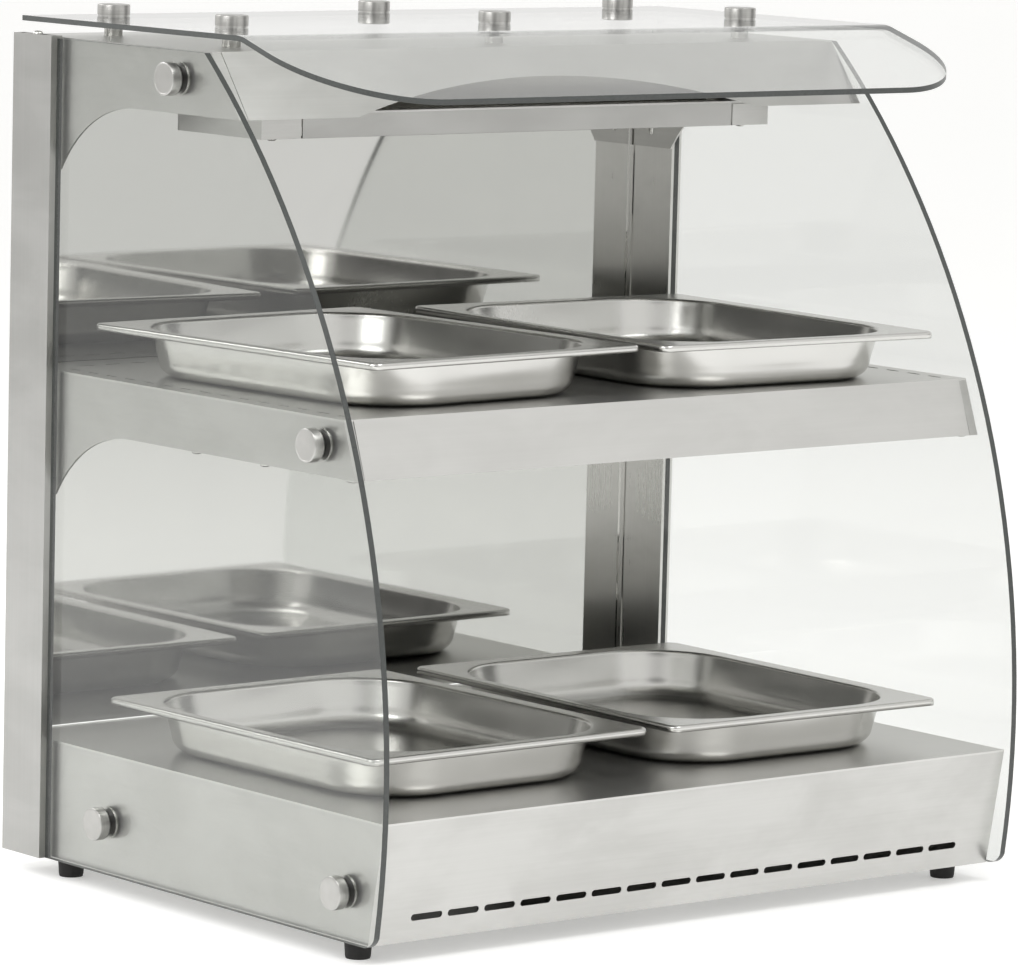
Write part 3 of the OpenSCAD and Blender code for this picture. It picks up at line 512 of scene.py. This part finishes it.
def rubber(wire):
    """Black moulded rubber with a fine matt skin."""
    place = wire.add("TexCoord", output="Object")
    dust = place.noise(40.0, 3.0)
    pores = place.noise(1500.0, 2.0)
    colour = dust.choose((0.012, 0.012, 0.012, 1), (0.032, 0.031, 0.030, 1))
    skin = wire.add("Bump", None, {"Strength": 0.3, "Distance": 0.0001, "Height": pores})
    sockets = {"Base Color": colour, "Roughness": 0.52 + 0.2 * dust, "Specular IOR Level": 0.25,
               "Normal": skin}
    return wire.add("BsdfPrincipled", None, sockets)


def turned_cap(x, y, z):
    """Turned and brushed cap steel; x, y, z are the tool lines per metre along each axis."""

    def recipe(wire):
        place = wire.add("TexCoord", output="Object")
        lines = place.stretched(x, y, z).noise(1.0, 2.0, 0.6)
        cloud = place.noise(35.0, 2.0)
        colour = lines.choose((0.38, 0.376, 0.36, 1), (0.52, 0.515, 0.50, 1))
        skin = wire.add("Bump", None, {"Strength": 0.06, "Distance": 0.0001, "Height": lines})
        sockets = {"Base Color": colour, "Metallic": 1.0, "Roughness": 0.28 + 0.10 * cloud, "Normal": skin}
        return wire.add("BsdfPrincipled", None, sockets)

    return recipe


black_rubber = finish("moulded_rubber", rubber)
side_cap_steel = finish("side_cap_steel", turned_cap(1500.0, 60.0, 60.0))
canopy_cap_steel = finish("canopy_cap_steel", turned_cap(60.0, 60.0, 1500.0))
cap_outline = [(12.5, -8.0, 0), (12.5, -0.95, 0), (12.4, -0.6, 0), (12.15, -0.3, 0), (11.75, -0.1, 0),
               (11.3, 0.0, 0), (10.9, 0.0, 0), (10.7, -0.12, 0), (0.4, -0.12, 0)]
side_stud = [(3.0, -24.0, 0), (3.0, -8.0, 0)]
canopy_stud = [(3.0, -18.0, 0), (3.0, -8.0, 0)]
cap_steps, cap_crease = 48, 20


def sideways(middle):
    """Out of the case, to the side that a cap is on."""
    return Vector((1.0 if middle.x > 0 else -1.0, 0, 0))


def upwards(middle):
    return Vector((0, 0, 1.0))


def downwards(middle):
    return Vector((0, 0, -1.0))


side_caps = turned_parts("side_pane_caps", seat("side_standoff_caps", sideways),
                         side_stud + cap_outline, side_cap_steel, cap_steps, cap_crease)
canopy_cap_heads = turned_parts("canopy_pane_caps", seat("canopy_caps", upwards),
                                canopy_stud + cap_outline, canopy_cap_steel, cap_steps, cap_crease)
for caps, node_name in ((side_caps, "side_standoff_caps"), (canopy_cap_heads, "canopy_caps")):
    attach(caps, "case")
    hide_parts(node_name)
dress(["canopy_posts"], canopy_cap_steel, 0.0004)


def washer(letter, where, rubber_beyond):
    """Seals on the pane: black rubber on one side of it and bright steel on the other."""

    def recipe(wire):
        place = wire.add("TexCoord", output="Object")
        beyond = place.axis(letter).math("ABSOLUTE").step(where - 0.0001, where + 0.0001)
        soft = beyond if rubber_beyond else 1.0 - beyond
        dust = place.noise(40.0, 3.0)
        black = dust.choose((0.018, 0.018, 0.018, 1), (0.045, 0.044, 0.042, 1))
        bright = dust.choose((0.50, 0.495, 0.48, 1), (0.62, 0.615, 0.60, 1))
        sockets = {"Base Color": soft.choose(bright, black), "Metallic": 1.0 - soft,
                   "Roughness": 0.25 + 0.3 * soft + 0.1 * dust}
        return wire.add("BsdfPrincipled", None, sockets)

    return recipe


pane_low, pane_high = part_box("side_glass_right")
side_washer = washer("X", (pane_low.x + pane_high.x) / 2, True)
canopy_middle = (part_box("canopy_gaskets")[0].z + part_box("canopy_gaskets")[1].z) / 2
canopy_washer = washer("Z", canopy_middle, False)
dress(["side_standoff_nuts"], turned)
dress(["side_standoff_gaskets"], finish("side_washers", side_washer))
dress(["canopy_gaskets"], finish("canopy_washers", canopy_washer))
dress(["feet"], black_rubber, 0.0006)
dress(["foot_screws"], turned)
under_head = [(1.5, -5.0, 0), (1.5, -2.4, 0)] + [row for row in button_head if row[1] > -2.5]
for node_name in ("shelf_screws", "lamp_screws"):
    heads = turned_parts(node_name.replace("screws", "button_screws"),
                         seat(node_name, downwards), under_head, turned)
    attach(heads, "case")
    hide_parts(node_name)

# ---- Pans ----------------------------------------------------------------------
# Half-size gastronorm pans deep-drawn from 0.8 mm stainless sheet: a flat flange
# with a turned-down lip, a rolled shoulder, drafted walls and a broad floor fillet.


def rounded_ring(half_x, half_y, radius, height, arc_steps=18, side_steps=6, crown=0.0):
    """Points round a rectangle with round corners; crown bows its sides outwards."""
    ring = []
    corners = [(1, 1, 0), (-1, 1, 90), (-1, -1, 180), (1, -1, 270)]
    for number, (sx, sy, start) in enumerate(corners):
        for step in range(arc_steps + 1):
            angle = math.radians(start + 90 * step / arc_steps)
            ring.append(Vector((sx * (half_x - radius) + radius * math.cos(angle),
                                sy * (half_y - radius) + radius * math.sin(angle), height)))
        tx, ty, turn = corners[(number + 1) % 4]
        angle = math.radians(start + 90)
        first = ring[-1]
        last = Vector((tx * (half_x - radius) + radius * math.cos(angle),
                       ty * (half_y - radius) + radius * math.sin(angle), height))
        outward = Vector((math.cos(angle), math.sin(angle), 0.0))
        for step in range(1, side_steps):
            share = step / side_steps
            bow = crown * math.sin(math.pi * share) ** 2
            ring.append(first.lerp(last, share) + outward * bow)
    return ring


def lofted(name, rings, material):
    """A skin through rings with equally many points, closed over the last ring."""
    count = len(rings[0])
    points = [tuple(p) for ring in rings for p in ring]
    faces = []
    for low in range(len(rings) - 1):
        for i in range(count):
            j = (i + 1) % count
            faces.append((low * count + i, low * count + j,
                          (low + 1) * count + j, (low + 1) * count + i))
    faces.append(tuple(range((len(rings) - 1) * count, len(rings) * count)))
    return mesh_object(name, points, faces, material)


def drawn_steel(wire):
    """Deep-drawn pan steel: satin polish, with soft streaks down the walls."""
    place = wire.add("TexCoord", output="Object")
    bloom = place.noise(16.0, 3.0, 0.5, 0.5)
    hair = place.stretched(900.0, 900.0, 60.0).noise(1.0, 2.0)
    colour = bloom.choose((0.60, 0.595, 0.575, 1), (0.67, 0.665, 0.645, 1))
    skin = wire.add("Bump", None, {"Strength": 0.04, "Distance": 0.0001, "Height": hair})
    sockets = {"Base Color": colour, "Metallic": 1.0, "Roughness": 0.19 + 0.08 * bloom + 0.04 * hair,
               "Normal": skin}
    return wire.add("BsdfPrincipled", None, sockets)


pan_steel = finish("drawn_pan_steel", drawn_steel)
pan_sheet = 0.0008
pan_half_x, pan_half_y = 0.1325, 0.1625
well_half_x, well_half_y = 0.1187, 0.1487
pan_depth = 0.038
lip_drop = 0.005
shoulder = 0.0028
floor_fillet = 0.013
wall_draft = 0.0048
flange_corner, well_corner = 0.008, 0.0632


def pan_rings():
    """Rings from the lip's lower edge over the flange and down to the floor."""
    rings = []
    for inset, drop in ((0.0, lip_drop), (0.0, 0.0016), (0.0003, 0.0007), (0.0011, 0.0)):
        rings.append(rounded_ring(pan_half_x - inset, pan_half_y - inset, flange_corner, pan_depth - drop))
    rings.append(rounded_ring(pan_half_x - 0.0026, pan_half_y - 0.0026, flange_corner, pan_depth))
    for step in range(7):
        angle = math.radians(90 * step / 6)
        out = shoulder * (1 - math.sin(angle))
        drop = shoulder * (1 - math.cos(angle))
        rings.append(rounded_ring(well_half_x + out, well_half_y + out, well_corner + out,
                                  pan_depth - 0.0004 - drop))
    wall_top = pan_depth - 0.0004 - shoulder
    wall_low = pan_sheet + floor_fillet
    for step in range(1, 7):
        share = step / 6
        inset = wall_draft * share
        rings.append(rounded_ring(well_half_x - inset, well_half_y - inset, well_corner - 0.6 * inset,
                                  wall_top + (wall_low - wall_top) * share,
                                  crown=0.0008 * math.sin(math.pi * share)))
    for step in range(1, 8):
        angle = math.radians(90 * step / 7)
        inset = wall_draft + floor_fillet * (1 - math.cos(angle))
        height = wall_low - floor_fillet * math.sin(angle)
        rings.append(rounded_ring(well_half_x - inset, well_half_y - inset,
                                  well_corner - 0.6 * inset, height))
    for share in (0.96, 0.7, 0.4, 0.15):
        floor_x, floor_y = share * (well_half_x - inset), share * (well_half_y - inset)
        rings.append(rounded_ring(floor_x, floor_y, share * 0.050, pan_sheet))
    return rings


pan_turns = {"upper_left_pan": 3.4, "upper_right_pan": -2.5,
             "lower_left_pan": 0.6, "lower_right_pan": -1.2}
for pan_name, turn in pan_turns.items():
    low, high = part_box(pan_name)
    pan = lofted(pan_name.replace("pan", "drawn_pan"), pan_rings(), pan_steel)
    placed = (Matrix.Translation(((low.x + high.x) / 2, (low.y + high.y) / 2, low.z))
              @ Matrix.Rotation(math.radians(turn), 4, "Z"))
    pan.data.transform(placed)
    sheet = pan.modifiers.new("sheet", "SOLIDIFY")
    sheet.thickness = pan_sheet
    sheet.offset = -1.0
    sheet.use_even_offset = True
    side, row = pan_name.split("_")[1], pan_name.split("_")[0]
    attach(pan, "pan_" + row + "_" + side)
    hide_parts(pan_name)

# ---- Controls ------------------------------------------------------------------
# Thermostat, two rocker switches, a pilot lamp and the gland for the mains lead,
# all moulded parts fixed through the rear panel of the base.


def moulded(dark, light, rough):
    """Injection-moulded plastic with a fine spark-eroded texture."""

    def recipe(wire):
        place = wire.add("TexCoord", output="Object")
        grain = place.noise(1400.0, 2.0)
        colour = place.noise(30.0, 2.0).choose((*dark, 1), (*light, 1))
        skin = wire.add("Bump", None, {"Strength": 0.25, "Distance": 0.00008, "Height": grain})
        sockets = {"Base Color": colour, "Roughness": rough + 0.12 * grain, "Normal": skin}
        return wire.add("BsdfPrincipled", None, sockets)

    return recipe


black_plastic = finish("black_moulding", moulded((0.014, 0.014, 0.015), (0.024, 0.024, 0.025), 0.34))
dress(["cord_gland", "switch_housings", "light_rocker", "door_catches"], black_plastic, 0.0003)

knob_low, knob_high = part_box("thermostat_knob")
knob_foot = Vector(((knob_low.x + knob_high.x) / 2, knob_low.y, (knob_low.z + knob_high.z) / 2))
knob_place = (Matrix.Translation(knob_foot)
              @ Vector((0, 1, 0)).to_track_quat("Z", "Y").to_matrix().to_4x4())
skirt_radius, grip_radius, flute_depth, flutes = 0.021, 0.0162, 0.0011, 18
knob_rows = [(skirt_radius - 0.0004, 0.0, 0.0), (skirt_radius, 0.0004, 0.0), (skirt_radius, 0.0022, 0.0),
             (skirt_radius - 0.0006, 0.003, 0.0), (grip_radius + 0.0008, 0.0033, 0.0),
             (grip_radius, 0.0042, 1.0), (grip_radius - 0.0004, 0.009, 1.0),
             (grip_radius - 0.0009, 0.0165, 1.0), (grip_radius - 0.0016, 0.0180, 0.8),
             (grip_radius - 0.0030, 0.0186, 0.3), (grip_radius - 0.0044, 0.0184, 0.0),
             (grip_radius - 0.0052, 0.0178, 0.0), (0.0004, 0.0178, 0.0)]
around = 144
knob_points, knob_faces = [], []
for radius, height, fluted in knob_rows:
    for step in range(around):
        angle = 2 * math.pi * step / around
        ripple = fluted * flute_depth * (0.5 - 0.5 * math.cos(flutes * angle)) ** 2
        reach = radius - ripple
        spot = Vector((reach * math.cos(angle), reach * math.sin(angle), height))
        knob_points.append(tuple(knob_place @ spot))
for row in range(len(knob_rows) - 1):
    for i in range(around):
        j = (i + 1) % around
        low, high = row * around, (row + 1) * around
        knob_faces.append((low + i, low + j, high + j, high + i))
knob_faces.append(tuple(range(around - 1, -1, -1)))
knob_faces.append(tuple(range((len(knob_rows) - 1) * around, len(knob_rows) * around)))
knob = mesh_object("fluted_knob", knob_points, knob_faces, black_plastic)
knob.data.set_sharp_from_angle(angle=math.radians(50))
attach(knob, "thermostat_dial")
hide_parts("thermostat_knob")

white_print = finish("white_print", moulded((0.72, 0.72, 0.70), (0.80, 0.80, 0.78), 0.5))
pointer_half = 0.0007
pointer_points = []
for height in (0.0026, 0.0031):
    for across, out in ((-1, 0.0150), (1, 0.0150), (1, 0.0205), (-1, 0.0205)):
        spot = knob_foot + Vector((across * pointer_half, height, out))
        pointer_points.append(tuple(spot))
for height in (0.0174, 0.0190):
    for across, out in ((-1, 0.0015), (1, 0.0015), (1, 0.0112), (-1, 0.0112)):
        spot = knob_foot + Vector((across * pointer_half, height, out))
        pointer_points.append(tuple(spot))
block = [(0, 1, 2, 3), (4, 5, 6, 7), (0, 1, 5, 4), (1, 2, 6, 5), (2, 3, 7, 6), (3, 0, 4, 7)]
pointer_faces = block + [tuple(i + 8 for i in face) for face in block]
pointer = mesh_object("knob_pointer", pointer_points, pointer_faces, white_print, False)
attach(pointer, "thermostat_dial")

dial_print = finish("dial_print", moulded((0.015, 0.015, 0.015), (0.03, 0.03, 0.03), 0.5))
dial_radius, dial_sweep, print_gap = 0.0285, 270, 0.0001
for number, mark in enumerate(("0", "30", "50", "70", "90")):
    turn = math.radians(number * dial_sweep / 4)
    letters = bpy.data.curves.new("dial_number_" + mark, "FONT")
    letters.body = mark
    letters.size = 0.0072
    letters.extrude = 0.00012
    letters.align_x, letters.align_y = "CENTER", "CENTER"
    letters.materials.append(dial_print)
    number_piece = bpy.data.objects.new("dial_number_" + mark, letters)
    scene.collection.objects.link(number_piece)
    on_panel = Vector((knob_foot.x - dial_radius * math.sin(turn),
                       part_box("base_rear_panel")[1].y + print_gap,
                       knob_foot.z + dial_radius * math.cos(turn)))
    upright = Matrix.Rotation(math.pi, 4, "Z") @ Matrix.Rotation(math.pi / 2, 4, "X")
    number_piece.matrix_world = Matrix.Translation(on_panel) @ upright
    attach(number_piece, "case")
red_moulding = finish("red_moulding", moulded((0.36, 0.012, 0.008), (0.46, 0.02, 0.012), 0.25))
dress(["heat_rocker"], red_moulding, 0.0003)
dress(["pilot_lamp"], finish("amber_lens", moulded((0.80, 0.26, 0.02), (0.92, 0.38, 0.05), 0.12)))
dress(["thermostat_body"], finish("grey_moulding", moulded((0.30, 0.29, 0.26), (0.40, 0.38, 0.34), 0.4)))
dress(["terminal_block"], white_ceramic)
